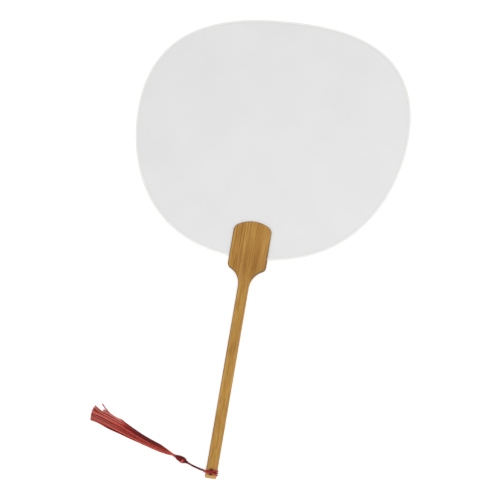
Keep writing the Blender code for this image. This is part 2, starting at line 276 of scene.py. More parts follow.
def bamboo_edges(n, colour, wall_and_shade, end_grain_and_shade, grip, pale_end):
    """Darker sides, partly the cut faces' own colour and partly painted shade; a painted-shade line along the
    left edge; and end grain, its dark colour partly painted shade, on faces that look back down the handle,
    but not at its pale end.
    """
    facing = n.parts(n.new("ShaderNodeNewGeometry").outputs["Normal"])
    upright = n.math("ABSOLUTE", facing["Z"], 0.0)
    endwise = n.math("MULTIPLY", facing["Y"], -1.0)
    # The sides are darkened partly for the cut faces' own colour and partly as painted shade. On the grip only
    # the left-facing sides, away from the key light, keep the full darkening.
    kept = n.math("MAXIMUM", n.span(grip, 0.0, 1.0, 1.0, 0.25), n.span(facing["X"], -0.1, -0.4))
    cut_side_and_shade = n.math("MULTIPLY", n.span(upright, 0.96, 0.45, 0.0, 0.9), kept)
    colour = n.mix(cut_side_and_shade, colour, wall_and_shade)
    # Painted shade: a dark line on the bevel along the left edge, which faces away from the key light.
    left = n.math("MULTIPLY", n.span(upright, 0.999, 0.93), n.span(facing["X"], -0.02, -0.2, 0.0, 0.85))
    colour = n.mix(n.math("MULTIPLY", left, n.span(pale_end, 0.4, 0.0)), colour, LEFT_EDGE_SHADE)
    # End grain, whose dark colour is partly painted shade, on faces that look back down the handle.
    end = n.math("MULTIPLY", n.span(endwise, 0.15, 0.95), n.span(pale_end, 0.1, 0.0))
    return n.mix(end, colour, end_grain_and_shade)


def bamboo_material(name, light, body, dark, wall_and_shade, end_grain_and_shade, grain=1.0):
    """Carbonised bamboo cut along its fibres, with a paler grip than head."""
    n = Nodes(name)
    place = n.parts(n.coords())
    grip = n.span(place["Y"], HANDLE_END + GRIP_TO, HANDLE_END + GRIP_FROM)
    colour, streaks, fibres = bamboo_grain(n, light, body, dark, grain, grip)
    colour = n.mix(grip, colour, GRIP_GLOW, "ADD")
    colour, pale_end = bamboo_hole_and_tip(n, colour, place)
    n.link(bamboo_edges(n, colour, wall_and_shade, end_grain_and_shade, grip, pale_end), n.shader, "Base Color")
    n.link(n.span(fibres, 0.3, 0.75, 0.44, 0.64), n.shader, "Roughness")
    n.shader.inputs["Specular IOR Level"].default_value = 0.3
    normal = n.bump(fibres, 0.00006, 0.7)
    normal = n.bump(streaks, 0.00012, 0.5, normal)
    n.link(normal, n.shader, "Normal")
    return n.material


def paper_material(name, colour, tint, strip_shadow=False):
    """Matte paper with faint clouding, short fibres and a very low tooth."""
    n = Nodes(name)
    cloud = n.noise((22, 22, 22), detail=3, roughness=0.55)
    fibres = n.noise((900, 1500, 900), detail=4, roughness=0.7, distortion=1.4)
    tooth = n.noise((2600, 2600, 2600), detail=2)
    base = n.mix(n.span(cloud, 0.3, 0.7), colour, tint)
    base = n.mix(n.span(fibres, 0.56, 0.72, 0.0, 0.22), base, tint)
    # Painted shadow of the strip's lip: a faint dark line on the leaf just inside the strip.
    if strip_shadow:
        far = n.attribute("edge_distance")
        line = n.math("MULTIPLY", n.span(far, *STRIP_SHADOW_RISE), n.span(far, *STRIP_SHADOW_FALL))
        base = n.mix(n.math("MULTIPLY", line, STRIP_SHADOW_STRENGTH), base, STRIP_SHADOW_LINE)
    n.link(base, n.shader, "Base Color")
    n.link(n.span(fibres, 0.3, 0.7, 0.82, 0.94), n.shader, "Roughness")
    n.shader.inputs["Specular IOR Level"].default_value = 0.2
    normal = n.bump(tooth, 0.000012, 0.6)
    normal = n.bump(fibres, 0.00002, 0.6, normal)
    n.link(normal, n.shader, "Normal")
    return n.material


def thread_material(name, colours, twist, rough=0.5):
    """Twisted thread. The attribute tone picks one of five colours, and a strand's length runs along V."""
    n = Nodes(name)
    uv = n.parts(n.new("ShaderNodeTexCoord").outputs["UV"])
    phase = n.math("ADD", uv["X"], n.math("MULTIPLY", uv["Y"], twist))
    ply = n.math("SINE", n.math("MULTIPLY", phase, 2 * math.pi * THREAD_RIBS), 0.0)
    grain = n.noise((700, 700, 700), detail=3, roughness=0.6)
    fine = n.noise((4200, 4200, 4200), detail=2)
    value = n.math("ADD", n.attribute("tone"), n.span(grain, 0.3, 0.7, -0.14, 0.14))
    value = n.math("ADD", value, n.span(ply, -1.0, 1.0, -0.05, 0.04))
    colour = colours[0]
    for (low, high), after in zip(TONE_SPANS, colours[1:]):
        colour = n.mix(n.span(value, low, high), colour, after)
    n.link(colour, n.shader, "Base Color")
    n.link(n.span(fine, 0.3, 0.7, rough - 0.08, rough + 0.1), n.shader, "Roughness")
    n.shader.inputs["Specular IOR Level"].default_value = 0.18
    n.shader.inputs["Sheen Weight"].default_value = 0.03
    n.shader.inputs["Sheen Roughness"].default_value = 0.4
    n.shader.inputs["Sheen Tint"].default_value = (1.0, 0.55, 0.5, 1.0)
    normal = n.bump(ply, 0.00006, 0.8)
    normal = n.bump(fine, 0.00002, 0.5, normal)
    n.link(normal, n.shader, "Normal")
    return n.material


BAMBOO_LIGHT = (0.56, 0.325, 0.085)
BAMBOO_BODY = (0.43, 0.212, 0.033)
BAMBOO_DARK = (0.24, 0.085, 0.010)
# The sides' colour and the end grain's are partly their own and partly painted shade.
BAMBOO_WALL_AND_SHADE = (0.23, 0.085, 0.016)
BAMBOO_END_GRAIN_AND_SHADE = (0.115, 0.078, 0.026)
# Painted shade along the left edge.
LEFT_EDGE_SHADE = (0.13, 0.045, 0.007)
GRIP_GLOW = (0.036, 0.029, 0.007)
GRIP_FROM = 0.183  # the grip's colour fades into the head's between these two heights
GRIP_TO = 0.198
GRIP_VEINS = 0.35  # the strength of the veins on the grip, and of the flecks on the head
HEAD_FLECKS = 0.62
# Darker round the cord's hole, and a painted-shadow ring just outside its edge.
HOLE_HALO = (0.36, 0.16, 0.026)
HOLE_HALO_SPAN = (0.0026, 0.0058)  # from the hole's middle outwards
HOLE_SHADOW_RING = (0.09, 0.026, 0.02)
HOLE_SHADOW_RING_SPAN = (0.0028, 0.0036)
PALE_TIP = (0.70, 0.43, 0.18)
PALE_TIP_FROM = 0.0002  # the lighter end of the handle, from its end face up
PALE_TIP_TO = 0.0042
HOOP_LIGHT = (0.66, 0.47, 0.22)
HOOP_BODY = (0.6, 0.4, 0.17)
HOOP_DARK = (0.4, 0.24, 0.08)
HOOP_GRAIN = 0.6  # how strong its grain is beside the handle's
LEAF_WHITE = (0.805, 0.805, 0.805)
LEAF_TINT = (0.778, 0.778, 0.779)
# The strip's paper is whiter than the leaf's: partly its own lighter paper, partly painted light where the
# raised strip catches the light.
STRIP_WHITE = (0.875, 0.873, 0.865)
STRIP_TINT = (0.845, 0.842, 0.83)
STRIP_SHADOW_LINE = (0.66, 0.65, 0.62)  # painted shadow: a faint dark line on the leaf just inside the strip, where its lip shades the leaf
STRIP_SHADOW_STRENGTH = 0.2
STRIP_SHADOW_RISE = (0.0020, 0.0023)
STRIP_SHADOW_FALL = (0.0036, 0.0027)
THREAD_RIBS = 2
# A thread's five colours are deep, mid, bright, pale and grey. Each turns into the next over a span of tones.
# The cord and the knot have no grey threads.
TONE_SPANS = [(0.0, 0.5), (0.5, 0.9), (1.0, 1.2), (1.4, 1.7)]
CORD_COLOURS = [(0.05, 0.006, 0.009), (0.2, 0.022, 0.024), (0.5, 0.058, 0.043)] + [(0.6, 0.15, 0.13)] * 2
KNOT_COLOURS = [(0.055, 0.006, 0.006), (0.26, 0.011, 0.008), (0.72, 0.12, 0.085)] + [(0.85, 0.3, 0.24)] * 2
# In the skirt the pale and grey colours are painted sheen on some threads.
SKIRT_COLOURS = [
    (0.12, 0.011, 0.013),
    (0.50, 0.044, 0.032),
    (0.77, 0.15, 0.10),
    (0.66, 0.34, 0.31),
    (0.2, 0.11, 0.1),
]
CORD_TWIST = 1100.0
SKIRT_TWIST = 900.0
SKIRT_ROUGHNESS = 0.55

# Twisted threads, as tubes along routes.


def smooth_route(points, step):
    """Points about step apart on the smooth curve through the given ones, which may carry extra values."""
    points = [Vector(point) for point in points]
    padded = [points[0] * 2 - points[1]] + points + [points[-1] * 2 - points[-2]]
    route = []
    for before, start, end, after in zip(padded, padded[1:], padded[2:], padded[3:]):
        pieces = max(1, round((end - start).length / step))
        for piece in range(pieces):
            t = piece / pieces
            pull = (end - before) * t + (before * 2 - start * 5 + end * 4 - after) * t * t
            route.append(start + (pull + (start * 3 - before - end * 3 + after) * t**3) / 2)
    return route + [points[-1]]


def way_at(route, index):
    """The direction of a route at one of its points."""
    return (route[min(index + 1, len(route) - 1)] - route[max(index - 1, 0)]).normalized()


def frames_along(route):
    """For each point of a route its direction and two across it, which turn as little as they can."""
    ways = [way_at(route, index) for index in range(len(route))]
    across = ways[0].orthogonal().normalized()
    frames = []
    for index, way in enumerate(ways):
        if index:
            across = ways[index - 1].rotation_difference(way) @ across
        across = (across - way * across.dot(way)).normalized()
        frames.append((way, across, way.cross(across)))
    return frames


def running_length(route):
    lengths = [0.0]
    for a, b in zip(route, route[1:]):
        lengths.append(lengths[-1] + (b - a).length)
    return lengths


def plies(route, radii, phase):
    """The routes of the plies that twist about a route, and their radius at each point."""
    share = PLY_FULLNESS / (1 + 1 / math.sin(math.pi / PLIES))
    lengths, frames = running_length(route), frames_along(route)
    routes = []
    for ply in range(PLIES):
        points = []
        for place, (_, u, v), far, radius in zip(route, frames, lengths, radii):
            angle = phase + 2 * math.pi * (ply / PLIES + far / PLY_PITCH)
            points.append(place + (u * math.cos(angle) + v * math.sin(angle)) * radius * (1 - share))
        routes.append(points)
    return routes, [radius * share for radius in radii]


END_ROUNDING = 0.6  # a rounded end reaches this share of the radius on, and narrows to it
PLY_TONE_STEP = 0.07  # how much the plies of a cord differ in tone


class Tubes:
    """Collects round tubes and makes one mesh of them, with their lengths along V and their tones."""

    def __init__(self, sides):
        self.sides = sides
        self.points, self.faces, self.tones, self.uvs = [], [], [], []

    def add(self, route, radii, tones, rounded=True):
        """A tube along a route, with one radius and one tone or a list of each for the route's points."""
        if isinstance(radii, float):
            radii = [radii] * len(route)
        if isinstance(tones, float):
            tones = [tones] * len(route)
        frames, lengths = frames_along(route), running_length(route)
        rings = list(zip(route, radii, frames, lengths, tones))
        if rounded:
            ends = []
            for (place, radius, axes, far, tone), sign in ((rings[0], -1), (rings[-1], 1)):
                reach = radius * END_ROUNDING
                ends.append((place + axes[0] * sign * reach, reach, axes, far + sign * reach, tone))
            rings = [ends[0]] + rings + [ends[1]]
        first = len(self.points)
        for place, radius, (_, u, v), far, tone in rings:
            for side in range(self.sides):
                angle = 2 * math.pi * side / self.sides
                self.points.append(place + (u * math.cos(angle) + v * math.sin(angle)) * radius)
                self.tones.append(tone)
        self.add_faces(first, [ring[3] for ring in rings])

    def add_faces(self, first, lengths):
        """The walls and the two end caps of a tube whose rings start at the point first."""
        for ring, (low, high) in enumerate(zip(lengths, lengths[1:])):
            for side in range(self.sides):
                after = (side + 1) % self.sides
                a, b = first + ring * self.sides + side, first + ring * self.sides + after
                self.faces.append((a, b, b + self.sides, a + self.sides))
                left, right = side / self.sides, (side + 1) / self.sides
                self.uvs += [(left, low), (right, low), (right, high), (left, high)]
        last = first + (len(lengths) - 1) * self.sides
        for ring_start, far, flip in ((first, lengths[0], True), (last, lengths[-1], False)):
            cap = [ring_start + side for side in range(self.sides)]
            self.faces.append(tuple(reversed(cap)) if flip else tuple(cap))
            self.uvs += [(0.5, far)] * self.sides

    def add_cord(self, route, radii, tones, phase):
        """A cord of plies along a route, with a radius and a tone for each of its points."""
        routes, ply_radii = plies(route, radii, phase)
        for ply, points in enumerate(routes):
            shift = (ply - (PLIES - 1) / 2) * PLY_TONE_STEP
            self.add(points, ply_radii, [tone + shift for tone in tones])

    def take_in(self, other):
        """Adds another collection's tubes, which may have another number of sides."""
        base = len(self.points)
        self.points += other.points
        self.tones += other.tones
        self.faces += [tuple(index + base for index in face) for face in other.faces]
        self.uvs += other.uvs

    def make(self, name, material):
        mesh = bpy.data.meshes.new(name)
        mesh.from_pydata(self.points, [], self.faces)
        mesh.attributes.new("tone", "FLOAT", "POINT").data.foreach_set("value", self.tones)
        layer = mesh.uv_layers.new(name="strand")
        layer.data.foreach_set("uv", [number for uv in self.uvs for number in uv])
        mesh.shade_smooth()
        mesh.materials.append(material)
        return put(name, mesh)


cord_thread = thread_material("cord_thread", CORD_COLOURS, CORD_TWIST)
knot_thread = thread_material("knot_thread", KNOT_COLOURS, CORD_TWIST)
skirt_thread = thread_material("skirt_thread", SKIRT_COLOURS, SKIRT_TWIST, SKIRT_ROUGHNESS)

# The tassel's cord. Its middle line runs from the handle's right edge over the hole and the left edge,
# down to the surface and along it into the knot.

CORD_ROUTE = [
    (0.0046, 0.0056, 0.00676),
    (0.0014, 0.0056, 0.0068),
    (-0.0020, 0.0056, 0.0068),
    (-0.0049, 0.0056, 0.00678),
    (-0.0063, 0.0058, 0.0062),
    (-0.0082, 0.0064, 0.0044),
    (-0.0104, 0.0069, 0.0025),
    (-0.0126, 0.0075, 0.00135),
    (-0.0150, 0.0081, 0.00106),
    (-0.0176, 0.0088, 0.00112),
    (-0.0200, 0.0096, 0.0016),
    (-0.0222, 0.0104, 0.0024),
    (-0.0242, 0.0113, 0.003),
]
CORD_STEP = 0.00035
CORD_SIDES = 7
# By the distance run from the right edge: how far each strand lies from the middle line, the cord's tone, and
# its strands' girth.
CORD_SPREAD = [
    (0.0, 0.00175),
    (0.0014, 0.0014),
    (0.0030, 0.00095),
    (0.0075, 0.00085),
    (0.0100, 0.00065),
    (0.0125, 0.00046),
    (0.04, 0.00042),
]
CORD_TONES = [
    (0.0, 0.8),
    (0.005, 0.8),
    (0.0105, 0.85),
    (0.0130, 0.5),
    (0.016, 0.24),
    (0.026, 0.38),
    (0.034, 0.55),
]
CORD_GIRTHS = [(0.0, 1.7), (0.0075, 1.6), (0.0100, 1.35), (0.0125, 1.0), (0.04, 0.95)]
CORD_ROCK = math.radians(14)  # how far the flat pair of strands rocks to either side
CORD_ROCK_LENGTH = 0.016
CORD_FLAT_RUN = 0.0105  # before that they lie level
CORD_STRAND_TONE = 0.05  # one strand is this much brighter than that, and the other darker


def between(table, value):
    """The value that a table of (place, value) gives at a place, straight between its rows."""
    for (a, low), (b, high) in zip(table, table[1:]):
        if value <= b:
            return low + (high - low) * max(0.0, (value - a) / (b - a))
    return table[-1][1]


def cord_strand(middle, lengths, sign):
    """One of the two strands that lie to either side of the cord's middle line."""
    strand = []
    for index, (place, far) in enumerate(zip(middle, lengths)):
        way = way_at(middle, index)
        side = Vector((0, 0, 1)).cross(way).normalized()
        lift = way.cross(side)
        turn = CORD_ROCK * math.sin(2 * math.pi * max(0.0, far - CORD_FLAT_RUN) / CORD_ROCK_LENGTH)
        out = side * math.cos(turn) + lift * math.sin(turn)
        strand.append(place + out * sign * between(CORD_SPREAD, far))
    return strand


def make_cord():
    middle = smooth_route([at(*point) for point in CORD_ROUTE], CORD_STEP)
    lengths = running_length(middle)
    radii = [STRAND_RADIUS * between(CORD_GIRTHS, far) for far in lengths]
    tubes = Tubes(CORD_SIDES)
    for sign in (1, -1):
        tones = [between(CORD_TONES, far) + sign * CORD_STRAND_TONE for far in lengths]
        tubes.add_cord(cord_strand(middle, lengths, sign), radii, tones, phase=sign)
    cord = tubes.make("tassel_cord", cord_thread)
    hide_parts("hanging_cord")
    return cord, middle, lengths[-1]


tassel_cord, cord_middle, cord_length = make_cord()

# The hitch: both strands go on round the handle's right edge, under it and up through the hole, where the
# bight joins them over the cord. Each row is X, distance from the hole's middle line, Z, radius and tone.

TONE_SCALE = 0.0005  # keeps a change of tone from counting as length
# The tones are painted light and shade: brightest on top of the handle, darker round its edge and under it,
# darkest inside the hole.
HITCH_HALF = [
    (0.0038, 0.00160, 0.0067, 0.0008, 0.8),
    (0.0046, 0.0018, 0.00672, 0.0008, 0.85),
    (0.0052, 0.0019, 0.0063, 0.00068, 0.8),
    (0.0055, 0.00195, 0.0053, 0.00056, 0.7),
    (0.00555, 0.0020, 0.0037, 0.0005, 0.6),
    (0.0055, 0.0020, 0.0022, 0.0005, 0.6),
    (0.0053, 0.0020, 0.0012, 0.0005, 0.6),
    (0.0046, 0.0020, 0.00063, 0.00054, 0.6),
    (0.0030, 0.0017, 0.00058, 0.00056, 0.5),
    (0.0018, 0.0014, 0.0008, 0.0007, 0.2),
    (0.0013, 0.0013, 0.0018, 0.0010, 0.02),
    (0.0012, 0.0013, 0.0037, 0.00115, 0.0),
    (0.0009, 0.0015, 0.0054, 0.0010, 0.0),
    (0.0004, 0.0021, 0.0067, 0.00078, 0.05),
    (0.0000, 0.00215, 0.0073, 0.00068, 0.1),
    (-0.0001, 0.0012, 0.0079, 0.00056, 0.35),
    (0.0000, 0.0, 0.0081, 0.00054, 0.8),
]
# The rest of the hole holds a turn of the loop that goes down from under the cord and comes up again. Its dark
# tones are painted shade.
INNER_HALF = [
    (-0.0009, 0.0007, 0.0060, 0.0006, 0.1),
    (-0.0011, 0.0012, 0.0052, 0.0009, 0.0),
    (-0.0012, 0.0013, 0.0037, 0.00115, 0.0),
    (-0.0011, 0.0012, 0.0024, 0.00095, 0.0),
    (-0.0009, 0.0007, 0.0014, 0.00072, 0.15),
    (-0.0008, 0.0, 0.0012, 0.00066, 0.2),
]
# Under the two strands a third one crosses the hole and goes on between them round the handle's right edge. It
# is darkest, as painted shade, inside the hole.
MIDDLE_TURN = [
    (-0.0019, 0.0002, 0.0054, 0.0005, 0.05),
    (-0.0008, 0.0002, 0.0056, 0.00055, 0.08),
    (0.0008, 0.0002, 0.0057, 0.00055, 0.12),
    (0.0022, 0.0001, 0.0063, 0.00065, 0.2),
    (0.0034, 0.0, 0.0067, 0.0009, 0.3),
    (0.0045, 0.0, 0.0067, 0.0011, 0.5),
    (0.0052, 0.0, 0.0063, 0.0009, 0.5),
    (0.0055, 0.0, 0.0053, 0.0007, 0.5),
    (0.00555, 0.0, 0.0037, 0.0006, 0.4),
    (0.0055, 0.0, 0.0022, 0.0006, 0.4),
    (0.0053, 0.0, 0.0012, 0.00054, 0.4),
    (0.0046, 0.0, 0.00066, 0.00054, 0.4),
    (0.0030, 0.0, 0.0006, 0.00054, 0.4),
    (0.0016, 0.0, 0.0009, 0.0006, 0.2),
]


def with_mirror(half):
    """A turn's rows, and then the same rows in reverse on the other side of the hole's middle line."""
    return half + [(x, -away, z, radius, tone) for x, away, z, radius, tone in reversed(half[:-1])]


def add_hitch_turn(tubes, table, phase=0.0):
    """A cord along the places of a table, as wide and as bright there as it says."""
    rows = [Vector((x, away, z, radius, tone * TONE_SCALE)) for x, away, z, radius, tone in table]
    rows = smooth_route(rows, CORD_STEP)
    route = [at(row[0], HOLE_Y + row[1], row[2]) for row in rows]
    tubes.add_cord(route, [row[3] for row in rows], [row[4] / TONE_SCALE for row in rows], phase=phase)


def make_hitch():
    tubes = Tubes(CORD_SIDES)
    add_hitch_turn(tubes, with_mirror(HITCH_HALF))
    add_hitch_turn(tubes, MIDDLE_TURN, phase=2.0)
    add_hitch_turn(tubes, with_mirror(INNER_HALF), phase=1.0)
    hitch = tubes.make("hitch_loop", cord_thread)
    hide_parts("cord_hitch")
    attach(hitch, "fan")


make_hitch()

# The knot: threads wound over a dark core, with a bright double turn that slants across its fat end. Its
# throat is a ball about the cord's end, so it hides that end wherever the tassel is lifted to. A row of the
# profile is a distance from the cord's end and the radius there.

KNOT_PROFILE = [
    (-0.0011, 0.0006),
    (-0.0008, 0.0010),
    (-0.0003, 0.00127),
    (0.0004, 0.0013),
    (0.0012, 0.0015),
    (0.0022, 0.0021),
    (0.0036, 0.0028),
    (0.0050, 0.00295),
    (0.0070, 0.00275),
    (0.0090, 0.0024),
    (0.0110, 0.0017),
    (0.0126, 0.0011),
]
KNOT_STEPS = 26
KNOT_SIDES = 7
KNOT_THREADS = 14
KNOT_THREAD_RADIUS = 0.00048
KNOT_THREAD_TURNS = 0.4
KNOT_THREAD_LEAST_OUT = 0.0002
KNOT_SHADE = 0.12  # how much the threads differ in tone
KNOT_LIT = 0.32  # painted light: how much brighter they are on their lit side, which is an angle round the knot
KNOT_BRIGHT_SIDE = 1.1
KNOT_LIT_FROM = 0.001  # the painted light is held back at the throat: it grows from here over this run
KNOT_LIT_RUN = 0.002
KNOT_LEAST_LIT = 0.2
CORE_SIDES = 20
CORE_LEAST_RADIUS = 0.0003
CORE_SINK = 1.1  # how many thread radii it lies under the profile
CORE_TONE = 0.1
BRIGHT_TURN_RADIUS = 0.00043
BRIGHT_TURN_STEPS = 48
BRIGHT_TURN_TONES = (0.9, 1.0)
BRIGHT_TURN_SIDE = 0.45  # the angle at which its painted light is brightest
BRIGHT_TURN_SHADE = 0.3  # what is left of its tone on its far side, in painted shade
BRIGHT_TURN_PLACE = 0.0030
BRIGHT_TURN_GAP = 0.0008
BRIGHT_TURN_SLANT = 0.0011
BRIGHT_TURN_SINK = 0.00012
BRIGHT_TURN_LOWEST = 1.1  # its middle line stays this many radii above the surface


def knot_place(far, angle, out):
    """A place this far along the knot from the cord's end, at an angle round it and out from its axis."""
    along = Vector((math.cos(KNOT_ANGLE), math.sin(KNOT_ANGLE), 0))
    side, up = Vector((-along.y, along.x, 0)), Vector((0, 0, 1))
    return at(*KNOT_END) + along * far + (side * math.cos(angle) + up * math.sin(angle)) * out


def knot_stations():
    """Distances along the knot, from its throat to its neck."""
    first, last = KNOT_PROFILE[0][0], KNOT_PROFILE[-1][0]
    return [first + (last - first) * step / KNOT_STEPS for step in range(KNOT_STEPS + 1)]


def add_knot_threads(tubes):
    for thread in range(KNOT_THREADS):
        start = 2 * math.pi * thread / KNOT_THREADS
        shade = KNOT_SHADE * random.random()
        route, tones = [], []
        for step, far in enumerate(knot_stations()):
            out = max(KNOT_THREAD_LEAST_OUT, between(KNOT_PROFILE, far) - KNOT_THREAD_RADIUS)
            angle = start + 2 * math.pi * KNOT_THREAD_TURNS * step / KNOT_STEPS
            route.append(knot_place(far, angle, out))
            # Painted light and shade: a thread is brighter where it turns to the lit side of the knot and dark
            # on the far side.
            lit = max(0.0, math.cos(angle - KNOT_BRIGHT_SIDE)) ** 2
            lit *= min(1.0, max(KNOT_LEAST_LIT, (far - KNOT_LIT_FROM) / KNOT_LIT_RUN))
            tones.append(shade + KNOT_LIT * lit)
        tubes.add(route, KNOT_THREAD_RADIUS, tones)


def add_bright_turns(tubes):
    for turn, tone in enumerate(BRIGHT_TURN_TONES):
        route, tones = [], []
        for step in range(BRIGHT_TURN_STEPS + 1):
            angle = 2 * math.pi * step / BRIGHT_TURN_STEPS
            far = BRIGHT_TURN_PLACE + BRIGHT_TURN_GAP * turn + BRIGHT_TURN_SLANT * math.cos(angle)
            place = knot_place(far, angle, between(KNOT_PROFILE, far) - BRIGHT_TURN_SINK)
            place.z = max(place.z, BRIGHT_TURN_RADIUS * BRIGHT_TURN_LOWEST)
            route.append(place)
            # Painted light and shade: the turn is brightest at one angle round the knot and darker away from
            # it.
            lit = max(0.0, math.cos(angle - BRIGHT_TURN_SIDE)) ** 0.7
            tones.append(tone * (BRIGHT_TURN_SHADE + (1 - BRIGHT_TURN_SHADE) * lit))
        tubes.add(route, BRIGHT_TURN_RADIUS, tones, rounded=False)


def knot_core():
    """The dark inside that the threads are wound over."""
    route, radii = [], []
    for far in knot_stations():
        route.append(knot_place(far, 0, 0))
        radii.append(max(CORE_LEAST_RADIUS, between(KNOT_PROFILE, far) - KNOT_THREAD_RADIUS * CORE_SINK))
    core = Tubes(CORE_SIDES)
    core.add(route, radii, CORE_TONE)
    return core


def make_knot():
    tubes = Tubes(KNOT_SIDES)
    add_knot_threads(tubes)
    add_bright_turns(tubes)
    tubes.take_in(knot_core())
    knot = tubes.make("tassel_knot_winding", knot_thread)
    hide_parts("tassel_knot")
    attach(knot, "knot")
    return knot


NECK_TURNS = 4
NECK_STEPS = 26  # in each turn
NECK_FROM = 0.0125
NECK_RUN = 0.0019
NECK_RADIUS = 0.00105
NECK_THREAD_RADIUS = 0.00026
NECK_TONE = 0.75
NECK_SIDES = 6


def make_neck():
    """A close helix of thread round the neck between the knot and the skirt."""
    count = NECK_TURNS * NECK_STEPS
    route = []
    for step in range(count + 1):
        far = NECK_FROM + NECK_RUN * step / count
        route.append(knot_place(far, 2 * math.pi * step / NECK_STEPS, NECK_RADIUS))
    tubes = Tubes(NECK_SIDES)
    tubes.add(route, NECK_THREAD_RADIUS, NECK_TONE)
    neck = tubes.make("neck_wrap_thread", knot_thread)
    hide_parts("neck_wrap")
    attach(neck, "knot")
    return neck


random.seed(11)
tassel_knot = make_knot()
neck_wrap = make_neck()
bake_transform(tassel_cord)

# The skirt of loose threads. A row is X, Y and half width of its middle line, from the neck to the cut ends.

SKIRT_ROUTE = [
    (-0.0368, 0.01565, 0.0008),
    (-0.0386, 0.0163, 0.0010),
    (-0.0440, 0.0178, 0.0021),
    (-0.0520, 0.0203, 0.0034),
    (-0.0600, 0.0227, 0.0039),
    (-0.0680, 0.0254, 0.0043),
    (-0.0770, 0.0287, 0.0049),
    (-0.0890, 0.0330, 0.0057),
    (-0.1000, 0.0367, 0.0064),
    (-0.1100, 0.0402, 0.0068),
    (-0.1260, 0.0454, 0.0069),
]
SKIRT_STEP = 0.0034
SKIRT_SIDES = 6
SKIRT_THREADS = 290
SKIRT_NECK_Z = 0.003
SKIRT_SETTLES = 0.016  # the run over which it comes down to the surface
SKIRT_PILE = 0.19  # its height over the surface as a share of its width
PILE_AT_EDGE = 0.35  # and how much of that height is left at its edges
PILE_CLEARANCE = 0.00008
SKIRT_SPREAD = 0.95
SKIRT_EDGE = 0.97  # how far across the skirt its outermost threads lie, give or take the wander
EDGE_WANDER = 0.10
THREAD_RADIUS = 0.0002
THREAD_AT_NECK = 0.62  # how thick a thread is at the neck, as a share
FREE_RUN = 0.25  # the share of the length over which a thread comes free of the neck
SHARED_SWAY = 0.26
OWN_SWAY = (0.01, 0.045)
OWN_WAVES = (0.6, 1.7)
SWAY_ROUND = 6.28  # a full turn of a sway's phase
ACROSS_STEP = 0.6180339  # two steps that spread the threads evenly over the skirt's width and height
HEIGHT_STEP = 0.7548777

# How much of the route a thread has, and how far its tip flicks out to the upper side. Beyond SHORT_FROM the
# threads are worn shorter. Of those, the strays stand out from the skirt's edge, and the stubs are shortest.
SKIRT_SHARE = 0.945
SHARE_SLANT = 0.018
SHARE_SPREAD = (-0.014, 0.006)
EVEN_BELOW = -0.7  # below this place across the skirt the ends are cut more evenly
EVEN_SPREAD = 0.4
USUAL_FLICK = (-0.04, 0.04)
FLICK_FROM = 0.1  # from here up to the short threads, the tips swing out past them more and more
FLICK_GROWTH = 1.1
SHORT_FROM = 0.64
SHORT_SHARE = (0.815, 0.86)
SHORT_FLICK = (-0.1, 0.2)
STRAYS = 3
STRAYS_FROM = 0.86
STRAY_SHARE = (0.89, 0.92)
STRAY_FLICK = (0.8, 1.0)
STUBS = 6
STUBS_FROM = 0.9
STUB_SHARE = (0.63, 0.67)
STUB_FLICK = (0.1, 0.22)
LONGEST_STUB = 0.7
FLICK_BACK = 0.142  # a flick starts this share of the length before the tip, and is full after the run
FLICK_RUN = 0.17

# The skirt's tones.
BASE_TONE = 0.58
BUNDLE_TONES = 1.9
OWN_TONES = 0.1
BRIGHTEST_BASE = 0.95
STUB_DARKER = 0.4
UPPER_SHADE = 0.95  # painted shade: how much darker the upper side gets, halfway to where that ends
UPPER_SHADE_END = 0.66
LOWER_LIGHT = 0.15  # how much brighter the lower side (painted light), the neck's end and the cut ends are
LOWER_LIGHT_SPAN = (-0.1, 0.35)
NECK_LIGHT = 0.45
NECK_LIGHT_RUN = 0.08
END_LIGHT = 0.3
END_LIGHT_RUN = 0.1
BRIGHTEST_RED = 0.96
PALE_SHEEN = 1.25
GREY_SHEEN = 1.75
SHEEN_FROM = (0.5, 0.75)
SHEEN_RUN = 0.12
# From this place across the skirt up, the share of threads with pale painted sheen and that of threads with
# pale or grey painted sheen.
SHEEN_SHARES = [(0.5, 0.28, 0.46), (-0.1, 0.22, 0.28), (-1.1, 0.05, 0.05)]


def place_across(across, height, along, own_sway):
    """Where a thread lies across the skirt, from -1 to 1, this far along. It sways with those beside it."""
    free = min(1.0, along / FREE_RUN)
    shared = SHARED_SWAY * noise.noise(Vector((across * 1.6, height * 0.5, along * 2.6 + 9.0)))
    edge = SKIRT_EDGE + EDGE_WANDER * noise.noise(Vector((0.7 if across > 0 else 4.7, 0.0, along * 9.0)))
    return max(-edge, min(edge, across * SKIRT_SPREAD + free * (shared + own_sway)))


def thread_z(height, half, lateral, far):
    """A thread's height over the surface: round the neck's middle at first, and then in the pile."""
    settled = min(1.0, far / SKIRT_SETTLES)
    settled = settled * settled * (3 - 2 * settled)
    dome = math.sqrt(max(0.0, 1 - min(1.0, abs(lateral)) ** 2))
    neck_z = SKIRT_NECK_Z + (2 * height - 1) * dome * half
    pile = 2 * half * SKIRT_PILE * (PILE_AT_EDGE + (1 - PILE_AT_EDGE) * dome)
    return neck_z * (1 - settled) + (THREAD_RADIUS + PILE_CLEARANCE + height * pile) * settled


